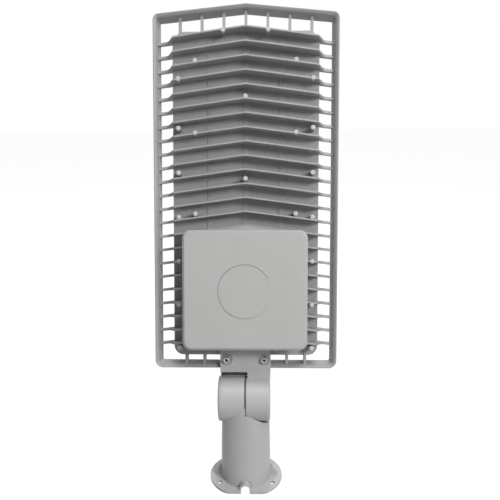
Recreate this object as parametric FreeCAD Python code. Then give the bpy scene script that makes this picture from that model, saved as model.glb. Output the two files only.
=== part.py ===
import FreeCAD, Part
import math
import os

"""LED street light head on a tilting flange adapter, in millimetres.

The lamp is drawn flat in its own panel frame: X across, Z up the panel from its lower edge,
Y through it, with the ribs towards -Y and the light towards +Y. It is then tilted back about
the knuckle axis and lifted onto the adapter, which is drawn upright with the centre of its
flange's bottom face at the origin.
"""

V = FreeCAD.Vector

# Outer frame of the panel
PANEL_WIDTH = 270.0
PANEL_LENGTH = 530.0        # lower edge to the apex of the top edge
TOP_FALL = 0.10             # fall of the top edge per millimetre away from the middle
FRAME_DEPTH = 20.0
FRAME_WALL = 5.5
FRAME_FLARE = 3.5           # how far the skirt leans in over its depth
TOP_CORNER = 9.0
BOTTOM_CORNER = 11.5
APEX_ROUND = 5.0

# Plate that carries the ribs and the light
PLATE_WIDTH = 213.0
PLATE_BOTTOM = 19.5
PLATE_FRONT = 2.0           # rib side of the plate, behind the frame's crest
PLATE_THICK = 4.0
PLATE_CORNER = 14.0
PLATE_TOP = 491.5
PLATE_TOP_CUT = (10.5, 15.0)   # cut-off upper corners, across and down
RIM_HEIGHT = 17.2
RIM_WALL = 3.5

# Chevron ribs
RIB_COUNT = 23
RIB_PITCH = 20.0
RIB_APEX = 491.6            # first rib's crest on the centre line
RIB_FALL = 0.128            # fall of a rib per millimetre away from the middle
RIB_CREST_THICK = 2.1
RIB_ROOT_THICK = 4.2
RIB_HEIGHT = 24.5           # above the plate, on the centre line
RIB_CROWN = 4.5             # how much lower the crest is at the plate's edge
BAR_DROP = 7.0              # bars beside the plate lie this far behind the frame's crest
BAR_DEPTH = 7.0
STEP_RUN = 9.0              # length of the slanted step from rib to bar
BAR_INTO_WALL = 4.5
TOP_RIB_PITCH = 32.0
TOP_RIBS_EACH_SIDE = 3
BOTTOM_RIB_PLACES = (61.4, 88.3)
BOTTOM_RIB_FRONT = 1.0      # behind the frame's crest
SHORT_RIB_THICK = 4.0
SHORT_RIB_INTO_WALL = 2.0

# Screw bosses
BOSS_R = 3.6
BOSS_BELOW_CREST = 1.0
EDGE_ROW_INSET = 10.0       # from the plate's sides
EDGE_ROW_BOTTOM = 32.3
EDGE_ROW_PITCH = 63.6
EDGE_ROW_COUNT = 7
EDGE_ROW_LAST = 6.0         # the uppermost pair stands this much past the pitch
TOP_ROW_X = 32.0
TOP_ROW_BELOW = 1.0         # below the first rib's crest
MODULE_PAIR_X = 72.2
MODULE_PAIR_Z = (227.7, 343.4, 444.8)
MODULE_MID_Z = (277.8, 394.2)
FRONT_BOSS_R = 4.4

# Driver box
BOX_WIDTH = 171.0
BOX_BOTTOM = 37.0
BOX_LENGTH = 164.0
BOX_CORNER = 9.0
BOX_WALL = 3.0
BOX_HEIGHT = 38.0           # walls above the plate
COVER_HEIGHT = 13.0         # cap above the gasket
COVER_WALL = 2.5
COVER_OVERLAP = 4.5         # skirt outside the walls
COVER_GAP = 0.4
COVER_BEVEL = 3.2
DISC_R = 37.5
DISC_HEIGHT = 1.0
GASKET_THICK = 0.8
BOX_BOSS_R = 6.4
BOX_BOSS_INSET = 9.0
COVER_SCREW_R = 2.0
COVER_SCREW_HEAD_R = 3.6
COVER_SCREW_HEAD = 2.6
COVER_SCREW_SEAT = 10.0     # metal between the head's seat and the gasket
SCREW_SLACK = 0.15
COVER_SCREW_BITE = 6.5

# Driver, terminal block and surge protector in the box
DRIVER_SIZE = (62.0, 30.0)  # across and high
DRIVER_X = -40.0
DRIVER_FOOT = 9.0
DRIVER_END_GAP = 4.0        # foot to the box wall
DRIVER_BEVEL = 2.5
FOOT_THICK = 1.5
TERMINAL_SIZE = (44.0, 17.0, 20.0)
TERMINAL_PLACE = (40.0, 62.0)
TERMINAL_LUG = 7.0
TERMINAL_LUG_THICK = 4.0
WIRE_WAY_R = 2.4
SURGE_SIZE = (34.0, 26.0, 52.0)
SURGE_PLACE = (42.0, 142.0)
WIRE_HOLE_R = 6.0
WIRE_HOLE_PLACE = (40.0, 96.0)

# Light module
BOARD_SIZE = (168.0, 240.0)
BOARD_THICK = 1.6
BOARD_CORNER = 4.0
BOARD_MIDDLE = 339.0
LED_COLUMNS = 6
LED_ROWS = 9
LED_PITCH_X = 23.6
LED_PITCH_Z = 25.0
LED_SIDE = 3.0
LED_HEIGHT = 0.7
LENS_BASE = 3.0
LENS_MARGIN = 1.5
LENS_R = 9.0
LENS_TOP_R = 5.4
LENS_HEIGHT = 6.0
LENS_RECESS_DEPTH = 1.4
LENS_RECESS_MARGIN = 7.0    # solid border of the lens plate
LENS_PAD_R = 5.0
MODULE_SCREW_R = 1.7
MODULE_HEAD_R = 3.2
MODULE_HEAD = 2.2
MODULE_SCREW_BITE = 8.0     # past the plate's rib side

# Front frame and glass
FRONT_THICK = 3.0
WINDOW = (172.0, 252.0)
WINDOW_CORNER = 8.0
GLASS_OVERLAP = 4.0
GLASS_THICK = 4.0
SEAL_THICK = 1.0
FRONT_SCREW_R = 1.7
FRONT_HEAD_R = 3.5
FRONT_HEAD = 2.4

# Knuckle and neck
TILT_BACK = 15.0            # degrees that the panel leans back in the photographed pose
PIVOT_BELOW = 46.5          # knuckle axis below the panel's lower edge
PIVOT_BEHIND = 2.0          # knuckle axis behind the frame's crest
KNUCKLE_R = 33.7
KNUCKLE_BORE_R = 25.0
KNUCKLE_END_WALL = 5.5
NECK_SIDE = 36.8            # knuckle axis to the neck's outer end face, along X
ADAPTER_SIDE = 40.2
NECK_END_CUT = 2.5
ADAPTER_END_DOME = 4.2
TEETH = 24                  # one tooth is 15 degrees of tilt
TOOTH_HEIGHT = 3.0
TOOTH_RIM_CHAMFER = 1.6
TOOTH_GAP = 0.36
TILT_BOSS_R = 15.5
TILT_BOLT_R = 6.0
RUNNING_FIT = 0.08
TILT_HEAD_R = 9.0
TILT_HEAD = 11.5
TILT_WASHER_R = 11.0
TILT_WASHER_THICK = 2.5
HEAD_POCKET_R = 11.6
TILT_SOCKET = 10.0
TILT_SOCKET_DEPTH = 6.0
NUT_ACROSS = 19.0
NUT_THICK = 10.8
NUT_SLACK = 0.2
NUT_POCKET = 14.0
BOLT_PAST_NUT = 1.7
NECK_WIDTH = 74.4
NECK_THICK = 9.0
NECK_TOP_GAP = 1.0          # neck plate to the driver box wall
NECK_STEP = 5.0             # neck plate past the panel's lower edge
NECK_WEB = 4.0
NECK_WEB_DEPTH = 17.0
LIP_FRONT = 8.0             # hanging lip behind the adapter's knuckle, behind the frame's crest
LIP_GAP = 2.0               # knuckle to the lip's lower edge
ARM_BACK = 12.0             # arm behind the knuckle axis
DUCT_WIDTH = 24.0
DUCT_DEPTH = 12.0
SEAT_CHANNEL = 28.0         # clear width between the two seats
SEAT_DEPTH = 18.0
SEAT_BOTTOM = 4.0
NECK_BOLT_X = 27.6
NECK_BOLT_Z = 13.9
NECK_BOLT_R = 3.0
NECK_BOLT_HEAD_R = 5.0
NECK_BOLT_HEAD = 6.0
NECK_BOLT_SOCKET = 5.0
NECK_BOLT_SOCKET_DEPTH = 3.2
NECK_BOLT_LENGTH = 20.0
SPRING_WASHER_R = 5.6
SPRING_WASHER_THICK = 1.8
SPRING_WASHER_SLIT = 1.2
PLAIN_WASHER_R = 6.6
PLAIN_WASHER_THICK = 1.6
BOLT_POCKET_R = 8.2
BOLT_POCKET_DEPTH = 1.6
NECK_GROOVE = (1.4, 1.0, 7.0)   # width, depth and length of the groove at the plate's top

# Cable gland in the rim, between the seats
GLAND_DEPTH = 14.8          # gland axis behind the frame's crest
GLAND_R = 6.0
GLAND_BORE_R = 4.0
GLAND_HEX = 17.0
GLAND_HEX_THICK = 5.0
GLAND_NUT_ACROSS = 15.0
GLAND_NUT_LENGTH = 8.0
GLAND_MOUTH_R = 3.4
LOCKNUT_ACROSS = 15.0
LOCKNUT_THICK = 3.5

# Adapter
PIVOT_HEIGHT = 135.6
TUBE_TOP_R = 33.7
TUBE_BASE_R = 37.2
TUBE_BORE_R = 30.75
SADDLE_GAP = 2.8            # neck's knuckle to the saddle in the tube
BORE_ROOF = 4.0
PASSAGE_R = 9.5
PASSAGE_X = -19.0
FLANGE_R = 55.7
FLANGE_THICK = 4.0
FLANGE_FLAT = 47.6          # tube axis to the flange's cut front edge
FLANGE_CORNER = 16.0
FLANGE_HOLES = 3
FLANGE_PCD = 93.0
FLANGE_HOLE_R = 4.0
GUSSET_REACH = 49.5
GUSSET_HEIGHT = 29.0
GUSSET_THICK = 5.0
NOTCH_WIDTH = 13.0
NOTCH_HEIGHT = 13.0
HOOD_WALL = 2.2

# Small round details are drawn with flat sides
BOSS_SIDES = 10
PIN_SIDES = 6
LENS_SIDES = 8
TURNED_SIDES = 16
TUBE_SIDES = 48

# Sizes that follow from those above
PLATE_BACK = PLATE_FRONT + PLATE_THICK
RIM_BACK = PLATE_BACK + RIM_HEIGHT
FRONT_SEAT = RIM_BACK + GASKET_THICK
FRONT_FACE = FRONT_SEAT + FRONT_THICK
RIB_CREST = PLATE_FRONT - RIB_HEIGHT
BOX_TOP = PLATE_FRONT - BOX_HEIGHT
COVER_SEAT = BOX_TOP - GASKET_THICK
COVER_TOP = COVER_SEAT - COVER_HEIGHT
BOX_MIDDLE = BOX_BOTTOM + BOX_LENGTH / 2
NECK_FACE = -NECK_THICK
BOLT_SEAT = NECK_FACE + BOLT_POCKET_DEPTH
NECK_TOP = BOX_BOTTOM - NECK_TOP_GAP
SADDLE_R = KNUCKLE_R + SADDLE_GAP
LENS_FACE = PLATE_BACK + BOARD_THICK + LENS_BASE
DRIVER_REACH = BOX_LENGTH / 2 - BOX_WALL - DRIVER_END_GAP
DRIVER_LENGTH = 2 * (DRIVER_REACH - DRIVER_FOOT)
FAR = 1000.0


def box(x0, x1, y0, y1, z0, z1):
    return Part.makeBox(x1 - x0, y1 - y0, z1 - z0, V(x0, y0, z0))


def rod(radius, start, end):
    """Cylinder from one point to another."""
    axis = V(*end) - V(*start)
    return Part.makeCylinder(radius, axis.Length, V(*start), axis)


def cross_rod(radius, x, z, y0, y1):
    """Cylinder through the panel, along Y."""
    return rod(radius, (x, y0, z), (x, y1, z))


def join(shapes):
    return shapes[0].multiFuse(shapes[1:]).removeSplitter()


def both_sides(shape):
    return [shape, shape.mirror(V(0, 0, 0), V(1, 0, 0))]


def polygon(sides, radius, height=0.0):
    corners = []
    for i in range(sides):
        angle = 2 * math.pi * i / sides
        corners.append(V(radius * math.cos(angle), radius * math.sin(angle), height))
    return Part.makePolygon(corners + corners[:1])


def flat_sided(sides, radius, start, end, end_radius=None):
    """Bar or taper with flat sides whose corners lie on circles, from one point to another."""
    axis = V(*end) - V(*start)
    low = polygon(sides, radius)
    high = polygon(sides, end_radius or radius, axis.Length)
    faces = [Part.Face(low), Part.Face(high)]
    for lower, upper in zip(low.Edges, high.Edges):
        corners = [v.Point for v in lower.Vertexes] + [v.Point for v in reversed(upper.Vertexes)]
        faces.append(Part.Face(Part.makePolygon(corners + corners[:1])))
    bar = Part.Solid(Part.Shell(faces))
    bar.Placement = FreeCAD.Placement(V(*start), FreeCAD.Rotation(V(0, 0, 1), axis))
    return bar


def turned(radius, start, end):
    """Small round piece or hole, from one point to another."""
    return flat_sided(TURNED_SIDES, radius, start, end)


def hexagon(across, start, end):
    """Hexagonal bar between two points, with its flats the given distance apart."""
    return flat_sided(6, across / math.sqrt(3), start, end)


def boss(radius, x, z, y0, y1):
    return flat_sided(BOSS_SIDES, radius, (x, y0, z), (x, y1, z))


def pin(radius, x, z, y0, y1):
    """Screw shank or its hole, along Y."""
    return flat_sided(PIN_SIDES, radius, (x, y0, z), (x, y1, z))


def inset(corners, distance):
    """Move each side of a convex outline inwards; corners run anticlockwise in X, Z."""
    moved = []
    count = len(corners)
    lines = []
    for i in range(count):
        x0, z0 = corners[i]
        x1, z1 = corners[(i + 1) % count]
        length = math.hypot(x1 - x0, z1 - z0)
        dx, dz = (x1 - x0) / length, (z1 - z0) / length
        lines.append((x0 - dz * distance, z0 + dx * distance, dx, dz))
    for i in range(count):
        ax, az, adx, adz = lines[i - 1]
        bx, bz, bdx, bdz = lines[i]
        cross = adx * bdz - adz * bdx
        along = ((bx - ax) * bdz - (bz - az) * bdx) / cross
        moved.append((ax + adx * along, az + adz * along))
    return moved


def rounded_wire(corners, radii, y):
    """Closed outline in the plane Y = y, with a tangent arc at each corner that has a radius."""
    count = len(corners)
    edges = []
    points = [V(x, y, z) for x, z in corners]
    last = None
    first = None
    for i in range(count):
        corner = points[i]
        if radii[i] <= 0:
            start = end = corner
        else:
            back = (points[i - 1] - corner).normalize()
            on = (points[(i + 1) % count] - corner).normalize()
            half = back.getAngle(on) / 2
            start = corner + back * (radii[i] / math.tan(half))
            end = corner + on * (radii[i] / math.tan(half))
            middle = (back + on).normalize()
            crown = corner + middle * (radii[i] / math.sin(half) - radii[i])
        if last is not None:
            edges.append(Part.makeLine(last, start))
        else:
            first = start
        if radii[i] > 0:
            edges.append(Part.Arc(start, crown, end).toShape())
        last = end
    edges.append(Part.makeLine(last, first))
    return Part.Wire(edges)


def rounded_plate(corners, radii, y0, y1):
    return Part.Face(rounded_wire(corners, radii, y0)).extrude(V(0, y1 - y0, 0))


def rectangle(width, z0, z1):
    return [(-width / 2, z0), (width / 2, z0), (width / 2, z1), (-width / 2, z1)]


def ring(corners, radii, wall, y0, y1):
    """Wall that follows an outline, on its inside."""
    inner = rounded_plate(inset(corners, wall), [max(r - wall, 0.0) for r in radii], y0, y1)
    return rounded_plate(corners, radii, y0, y1).cut(inner)


# Places that several pieces share

def rib_line(x, index=0):
    return RIB_APEX - RIB_PITCH * index - RIB_FALL * abs(x)


def crest_at(x):
    """Depth of the crowned rib crest at a distance from the middle."""
    return RIB_CREST + RIB_CROWN * (2 * x / PLATE_WIDTH) ** 2


def plate_outline():
    half = PLATE_WIDTH / 2
    across, down = PLATE_TOP_CUT
    return [(-half, PLATE_BOTTOM), (half, PLATE_BOTTOM), (half, PLATE_TOP - down), (half - across, PLATE_TOP),
            (across - half, PLATE_TOP), (-half, PLATE_TOP - down)]


PLATE_RADII = [PLATE_CORNER, PLATE_CORNER, 0.0, 0.0, 0.0, 0.0]


def box_outline(grow=0.0):
    return rectangle(BOX_WIDTH + 2 * grow, BOX_BOTTOM - grow, BOX_BOTTOM + BOX_LENGTH + grow)


def edge_screw_places():
    places = []
    for i in range(EDGE_ROW_COUNT):
        z = EDGE_ROW_BOTTOM + EDGE_ROW_PITCH * i
        if i == EDGE_ROW_COUNT - 1:
            z += EDGE_ROW_LAST
        places += [(side * (PLATE_WIDTH / 2 - EDGE_ROW_INSET), z) for side in (-1, 1)]
    places += [(side * TOP_ROW_X, rib_line(TOP_ROW_X) - TOP_ROW_BELOW) for side in (-1, 1)]
    return places


def module_screw_places():
    places = [(side * MODULE_PAIR_X, z) for z in MODULE_PAIR_Z for side in (-1, 1)]
    return places + [(0.0, z) for z in MODULE_MID_Z]


def cover_screw_places():
    half = BOX_WIDTH / 2 - BOX_BOSS_INSET
    low = BOX_BOTTOM + BOX_BOSS_INSET
    high = BOX_BOTTOM + BOX_LENGTH - BOX_BOSS_INSET
    return [(side * half, z) for z in (low, high) for side in (-1, 1)]


def led_places():
    places = []
    for row in range(LED_ROWS):
        for column in range(LED_COLUMNS):
            x = (column - (LED_COLUMNS - 1) / 2) * LED_PITCH_X
            z = BOARD_MIDDLE + (row - (LED_ROWS - 1) / 2) * LED_PITCH_Z
            places.append((x, z))
    return places


# Housing casting

def frame_solid(shrink):
    """Panel outline, shrunk, that narrows with depth like the flared skirt."""
    half = PANEL_WIDTH / 2
    shoulder = PANEL_LENGTH - TOP_FALL * half
    corners = [(-half, 0), (half, 0), (half, shoulder), (0, PANEL_LENGTH), (-half, shoulder)]
    radii = [BOTTOM_CORNER, BOTTOM_CORNER, TOP_CORNER, APEX_ROUND, TOP_CORNER]
    wires = []
    for y, lean in ((0.0, 0.0), (FRAME_DEPTH, FRAME_FLARE)):
        distance = shrink + lean
        wires.append(rounded_wire(inset(corners, distance), [max(r - distance, 0.6) for r in radii], y))
    return Part.makeLoft(wires, True, True)


def rib_half():
    """One side of a chevron rib: a drafted oblique bar, trimmed to the crowned crest and the bar."""
    half = PLATE_WIDTH / 2
    reach = PANEL_WIDTH / 2 - BAR_INTO_WALL
    deep = BAR_DROP + BAR_DEPTH
    section = [V(0, RIB_CREST, RIB_CREST_THICK / 2), V(0, deep, RIB_ROOT_THICK / 2),
               V(0, deep, -RIB_ROOT_THICK / 2), V(0, RIB_CREST, -RIB_CREST_THICK / 2)]
    bar = Part.Face(Part.makePolygon(section + section[:1])).extrude(V(reach, 0, -RIB_FALL * reach))
    bar.translate(V(0, 0, RIB_APEX))
    edge = half - STEP_RUN / 3
    foot = half + STEP_RUN * 2 / 3
    crest = Part.Arc(V(0, RIB_CREST, 0), V(edge / 2, crest_at(edge / 2), 0), V(edge, crest_at(edge), 0)).toShape()
    rest = Part.makePolygon([V(edge, crest_at(edge), 0), V(foot, BAR_DROP - 2, 0), V(foot + 3, BAR_DROP, 0),
                             V(reach, BAR_DROP, 0), V(reach, deep, 0), V(half - RIM_WALL, deep, 0),
                             V(half - RIM_WALL, PLATE_BACK, 0), V(0, PLATE_BACK, 0), V(0, RIB_CREST, 0)])
    envelope = Part.Face(Part.Wire([crest] + rest.Edges)).extrude(V(0, 0, PANEL_LENGTH))
    return bar.common(envelope)


def ribs():
    """Chevron ribs over the whole plate, and beside the driver box only its outer ends."""
    whole = rib_half()
    beside = whole.cut(box(-1, BOX_WIDTH / 2 - BOX_WALL / 2, -FAR, FAR, -FAR, FAR))
    shapes = []
    box_end = BOX_BOTTOM + BOX_LENGTH
    for i in range(RIB_COUNT):
        half = whole if rib_line(0, i) > box_end + RIB_PITCH / 2 else beside
        copy = half.copy()
        copy.translate(V(0, 0, -RIB_PITCH * i))
        shapes += both_sides(copy)
    return shapes


def short_ribs():
    """Upright ribs from the plate to the frame's top bar, and from the driver box to its bottom bar."""
    deep = BAR_DROP + BAR_DEPTH
    half = SHORT_RIB_THICK / 2
    shapes = []
    for i in range(-TOP_RIBS_EACH_SIDE, TOP_RIBS_EACH_SIDE + 1):
        x = TOP_RIB_PITCH * i
        top = PANEL_LENGTH - TOP_FALL * abs(x) - FRAME_WALL / 2
        shapes.append(box(x - half, x + half, BAR_DROP, deep, PLATE_TOP - RIM_WALL, top))
    for x in BOTTOM_RIB_PLACES:
        low = FRAME_WALL / 2
        top = BOX_BOTTOM + BOX_WALL
        shapes += both_sides(box(x - half, x + half, BOTTOM_RIB_FRONT, deep, low, PLATE_BOTTOM + RIM_WALL))
        shapes += both_sides(box(x - half, x + half, BOTTOM_RIB_FRONT, PLATE_BACK, PLATE_BOTTOM, top))
    return shapes


def bosses():
    shapes = []
    for x, z in edge_screw_places():
        shapes.append(boss(BOSS_R, x, z, crest_at(x) + BOSS_BELOW_CREST, PLATE_BACK))
        shapes.append(boss(FRONT_BOSS_R, x, z, PLATE_FRONT, RIM_BACK))
    for x, z in module_screw_places():
        shapes.append(boss(BOSS_R, x, z, crest_at(x) + BOSS_BELOW_CREST, PLATE_BACK))
    for x, z in cover_screw_places():
        shapes.append(boss(BOX_BOSS_R, x, z, BOX_TOP, PLATE_BACK))
    return shapes


def seats():
    seat = box(SEAT_CHANNEL / 2, NECK_WIDTH / 2, 0, SEAT_DEPTH, SEAT_BOTTOM, PLATE_BOTTOM + RIM_WALL)
    return both_sides(seat)


def housing_holes():
    holes = [box(-SEAT_CHANNEL / 2, SEAT_CHANNEL / 2, -1, FRAME_DEPTH + 1, -1, PLATE_BOTTOM),
             turned(GLAND_R + SCREW_SLACK, (0, GLAND_DEPTH, 0), (0, GLAND_DEPTH, PLATE_BOTTOM + 2 * RIM_WALL)),
             boss(WIRE_HOLE_R, *WIRE_HOLE_PLACE, PLATE_FRONT - 1, PLATE_BACK + 1)]
    for x, z in edge_screw_places():
        holes.append(pin(FRONT_SCREW_R + SCREW_SLACK, x, z, PLATE_FRONT, RIM_BACK + 1))
    for x, z in module_screw_places():
        holes.append(pin(MODULE_SCREW_R + SCREW_SLACK, x, z, PLATE_FRONT - MODULE_SCREW_BITE, PLATE_BACK + 1))
    for x, z in cover_screw_places():
        seat = BOX_TOP + COVER_SCREW_SEAT
        holes.append(pin(COVER_SCREW_R + SCREW_SLACK, x, z, BOX_TOP - 1, seat + 1))
        holes.append(pin(COVER_SCREW_HEAD_R + SCREW_SLACK, x, z, seat, PLATE_BACK + 1))
    for side in (-1, 1):
        bottom = NECK_BOLT_LENGTH - NECK_THICK
        holes.append(pin(NECK_BOLT_R + SCREW_SLACK, side * NECK_BOLT_X, NECK_BOLT_Z, -1, bottom))
    for x, z in driver_screw_places() + terminal_screw_places():
        holes.append(pin(MODULE_SCREW_R + SCREW_SLACK, x, z, PLATE_FRONT - 1, PLATE_BACK - 1))
    return holes


def heat_sink_housing():
    plate = rounded_plate(plate_outline(), PLATE_RADII, PLATE_FRONT, PLATE_BACK)
    rim = ring(plate_outline(), PLATE_RADII, RIM_WALL, PLATE_FRONT, RIM_BACK)
    walls = ring(box_outline(), [BOX_CORNER] * 4, BOX_WALL, BOX_TOP, PLATE_BACK)
    frame = frame_solid(0).cut(frame_solid(FRAME_WALL))
    solid = join([plate, rim, walls, frame] + ribs() + short_ribs() + bosses() + seats())
    return solid.cut(Part.Compound(housing_holes()))


# Driver box

def driver_box_cover():
    """Cap with a skirt that overlaps the box walls, a raised disc and four screw posts inside."""
    grow = COVER_GAP + COVER_WALL
    skirt_end = BOX_TOP + COVER_OVERLAP
    outer = rounded_plate(box_outline(grow), [BOX_CORNER + grow] * 4, COVER_TOP, skirt_end)
    outer = outer.makeChamfer(COVER_BEVEL, [e for e in outer.Edges if e.BoundBox.YMax < COVER_TOP + 0.01])
    skirt = rounded_plate(box_outline(COVER_GAP), [BOX_CORNER + COVER_GAP] * 4, COVER_SEAT, skirt_end + 1)
    inside = COVER_TOP + COVER_WALL
    hollow = rounded_plate(box_outline(-BOX_WALL), [BOX_CORNER - BOX_WALL] * 4, inside, COVER_SEAT + 1)
    cap = outer.cut(skirt).cut(hollow)
    disc = cross_rod(DISC_R, 0, BOX_MIDDLE - DISC_HEIGHT * 2, COVER_TOP - DISC_HEIGHT, COVER_TOP + 1)
    posts = [boss(BOX_BOSS_R, x, z, inside - 1, COVER_SEAT) for x, z in cover_screw_places()]
    holes = [pin(COVER_SCREW_R + SCREW_SLACK, x, z, COVER_SEAT - COVER_SCREW_BITE - 1, COVER_SEAT + 1)
             for x, z in cover_screw_places()]
    return join([cap, disc] + posts).cut(Part.Compound(holes))


def cover_gasket():
    band = ring(box_outline(), [BOX_CORNER] * 4, BOX_WALL, COVER_SEAT, BOX_TOP)
    pads = [boss(BOX_BOSS_R, x, z, COVER_SEAT, BOX_TOP) for x, z in cover_screw_places()]
    holes = [pin(COVER_SCREW_R + SCREW_SLACK, x, z, COVER_SEAT - 1, BOX_TOP + 1)
             for x, z in cover_screw_places()]
    return join([band] + pads).cut(Part.Compound(holes))


def cover_screws():
    return headed_pins(cover_screw_places(), BOX_TOP + COVER_SCREW_SEAT, COVER_SEAT - COVER_SCREW_BITE,
                       COVER_SCREW_R, COVER_SCREW_HEAD_R, COVER_SCREW_HEAD)


def driver_screw_places():
    half = DRIVER_REACH - DRIVER_FOOT / 2
    return [(DRIVER_X, BOX_MIDDLE + side * half) for side in (-1, 1)]


def led_driver():
    """Potted driver case with a foot at each end."""
    wide, high = DRIVER_SIZE
    case = box(DRIVER_X - wide / 2, DRIVER_X + wide / 2, PLATE_FRONT - high, PLATE_FRONT,
               BOX_MIDDLE - DRIVER_LENGTH / 2, BOX_MIDDLE + DRIVER_LENGTH / 2)
    case = case.makeChamfer(DRIVER_BEVEL, [e for e in case.Edges if e.BoundBox.ZLength > DRIVER_LENGTH - 1])
    foot = box(DRIVER_X - wide / 4, DRIVER_X + wide / 4, PLATE_FRONT - FOOT_THICK, PLATE_FRONT,
               BOX_MIDDLE - DRIVER_REACH, BOX_MIDDLE + DRIVER_REACH)
    holes = [pin(MODULE_SCREW_R + SCREW_SLACK, x, z, PLATE_FRONT - high - 1, PLATE_FRONT + 1)
             for x, z in driver_screw_places()]
    return join([case, foot]).cut(Part.Compound(holes))


def headed_pins(places, seat, shank_end, shank_r, head_r, head_height):
    """Screws along Y whose heads lie on a seat; they run towards shank_end."""
    away = math.copysign(1, seat - shank_end)
    screws = []
    for x, z in places:
        shank = pin(shank_r, x, z, seat, shank_end)
        head = pin(head_r, x, z, seat, seat + away * head_height)
        screws.append(head.fuse(shank))
    return Part.Compound(screws)


def driver_screws():
    return headed_pins(driver_screw_places(), PLATE_FRONT - FOOT_THICK, PLATE_BACK - 1.5,
                       MODULE_SCREW_R, MODULE_HEAD_R, MODULE_HEAD)


def terminal_screw_places():
    x, z = TERMINAL_PLACE
    return [(x + side * (TERMINAL_SIZE[0] - TERMINAL_LUG) / 2, z) for side in (-1, 1)]


def terminal_block():
    """Moulded block with three wire ways and a lowered lug at each end for its screws."""
    wide, high, long = TERMINAL_SIZE
    x, z = TERMINAL_PLACE
    block = box(x - wide / 2 + TERMINAL_LUG, x + wide / 2 - TERMINAL_LUG, PLATE_FRONT - high, PLATE_FRONT,
                z - long / 2, z + long / 2)
    lugs = box(x - wide / 2, x + wide / 2, PLATE_FRONT - TERMINAL_LUG_THICK, PLATE_FRONT,
               z - long / 2, z + long / 2)
    tools = []
    for i in (-1, 0, 1):
        pole = x + i * (wide - 2 * TERMINAL_LUG) / 3
        depth = PLATE_FRONT - high / 2
        tools.append(flat_sided(PIN_SIDES, WIRE_WAY_R, (pole, depth, z - long), (pole, depth, z + long)))
    for sx, sz in terminal_screw_places():
        tools.append(pin(MODULE_SCREW_R + SCREW_SLACK, sx, sz, PLATE_FRONT - high, PLATE_FRONT + 1))
    return join([block, lugs]).cut(Part.Compound(tools))


def terminal_screws():
    return headed_pins(terminal_screw_places(), PLATE_FRONT - TERMINAL_LUG_THICK, PLATE_BACK - 1.5,
                       MODULE_SCREW_R, MODULE_HEAD_R, MODULE_HEAD)


def surge_protector():
    wide, high, long = SURGE_SIZE
    x, z = SURGE_PLACE
    body = box(x - wide / 2, x + wide / 2, PLATE_FRONT - high, PLATE_FRONT, z - long / 2, z + long / 2)
    return body.makeChamfer(DRIVER_BEVEL, [e for e in body.Edges if e.BoundBox.YLength > high - 1])


# Light module

def board_outline(shrink=0.0):
    width, length = BOARD_SIZE
    return rectangle(width - 2 * shrink, BOARD_MIDDLE - length / 2 + shrink, BOARD_MIDDLE + length / 2 - shrink)


def module_holes(y0, y1):
    return [pin(MODULE_SCREW_R + SCREW_SLACK, x, z, y0, y1) for x, z in module_screw_places()]


def led_board():
    board = rounded_plate(board_outline(), [BOARD_CORNER] * 4, PLATE_BACK, PLATE_BACK + BOARD_THICK)
    return board.cut(Part.Compound(module_holes(PLATE_FRONT, RIM_BACK)))


def led_packages():
    half = LED_SIDE / 2
    seat = PLATE_BACK + BOARD_THICK
    return Part.Compound([box(x - half, x + half, seat, seat + LED_HEIGHT, z - half, z + half)
                          for x, z in led_places()])


def lens_plate():
    """Clear moulding with a lens over each light, one recess under them all, and a pad round each screw."""
    seat = PLATE_BACK + BOARD_THICK
    plate = rounded_plate(board_outline(LENS_MARGIN), [BOARD_CORNER] * 4, seat, LENS_FACE)
    recess = rounded_plate(board_outline(LENS_RECESS_MARGIN), [BOARD_CORNER] * 4, seat - 1, seat + LENS_RECESS_DEPTH)
    pads = [boss(LENS_PAD_R, x, z, seat, LENS_FACE) for x, z in module_screw_places()]
    lenses = [flat_sided(LENS_SIDES, LENS_R, (x, LENS_FACE, z), (x, LENS_FACE + LENS_HEIGHT, z), LENS_TOP_R)
              for x, z in led_places()]
    body = join([plate.cut(recess)] + pads + lenses)
    return body.cut(Part.Compound(module_holes(seat - 1, LENS_FACE + LENS_HEIGHT)))


def led_module_screws():
    return headed_pins(module_screw_places(), LENS_FACE, PLATE_FRONT - MODULE_SCREW_BITE + 2,
                       MODULE_SCREW_R, MODULE_HEAD_R, MODULE_HEAD)


# Front frame and glass

def window_outline(grow=0.0):
    width, length = WINDOW
    return rectangle(width + 2 * grow, BOARD_MIDDLE - length / 2 - grow, BOARD_MIDDLE + length / 2 + grow)


def front_frame():
    frame = rounded_plate(plate_outline(), PLATE_RADII, FRONT_SEAT, FRONT_FACE)
    window = rounded_plate(window_outline(), [WINDOW_CORNER] * 4, FRONT_SEAT - 1, FRONT_FACE + 1)
    holes = [pin(FRONT_SCREW_R + SCREW_SLACK, x, z, FRONT_SEAT - 1, FRONT_FACE + 1)
             for x, z in edge_screw_places()]
    return frame.cut(Part.Compound([window] + holes))


def frame_gasket():
    return ring(plate_outline(), PLATE_RADII, RIM_WALL, RIM_BACK, FRONT_SEAT)


def glass_seal():
    corner = WINDOW_CORNER + GLASS_OVERLAP
    return ring(window_outline(GLASS_OVERLAP), [corner] * 4, GLASS_OVERLAP, FRONT_SEAT - SEAL_THICK, FRONT_SEAT)


def front_glass():
    corner = WINDOW_CORNER + GLASS_OVERLAP
    back = FRONT_SEAT - SEAL_THICK
    return rounded_plate(window_outline(GLASS_OVERLAP), [corner] * 4, back - GLASS_THICK, back)


def front_frame_screws():
    return headed_pins(edge_screw_places(), FRONT_FACE, PLATE_BACK, FRONT_SCREW_R, FRONT_HEAD_R, FRONT_HEAD)


# Cable gland

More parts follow.
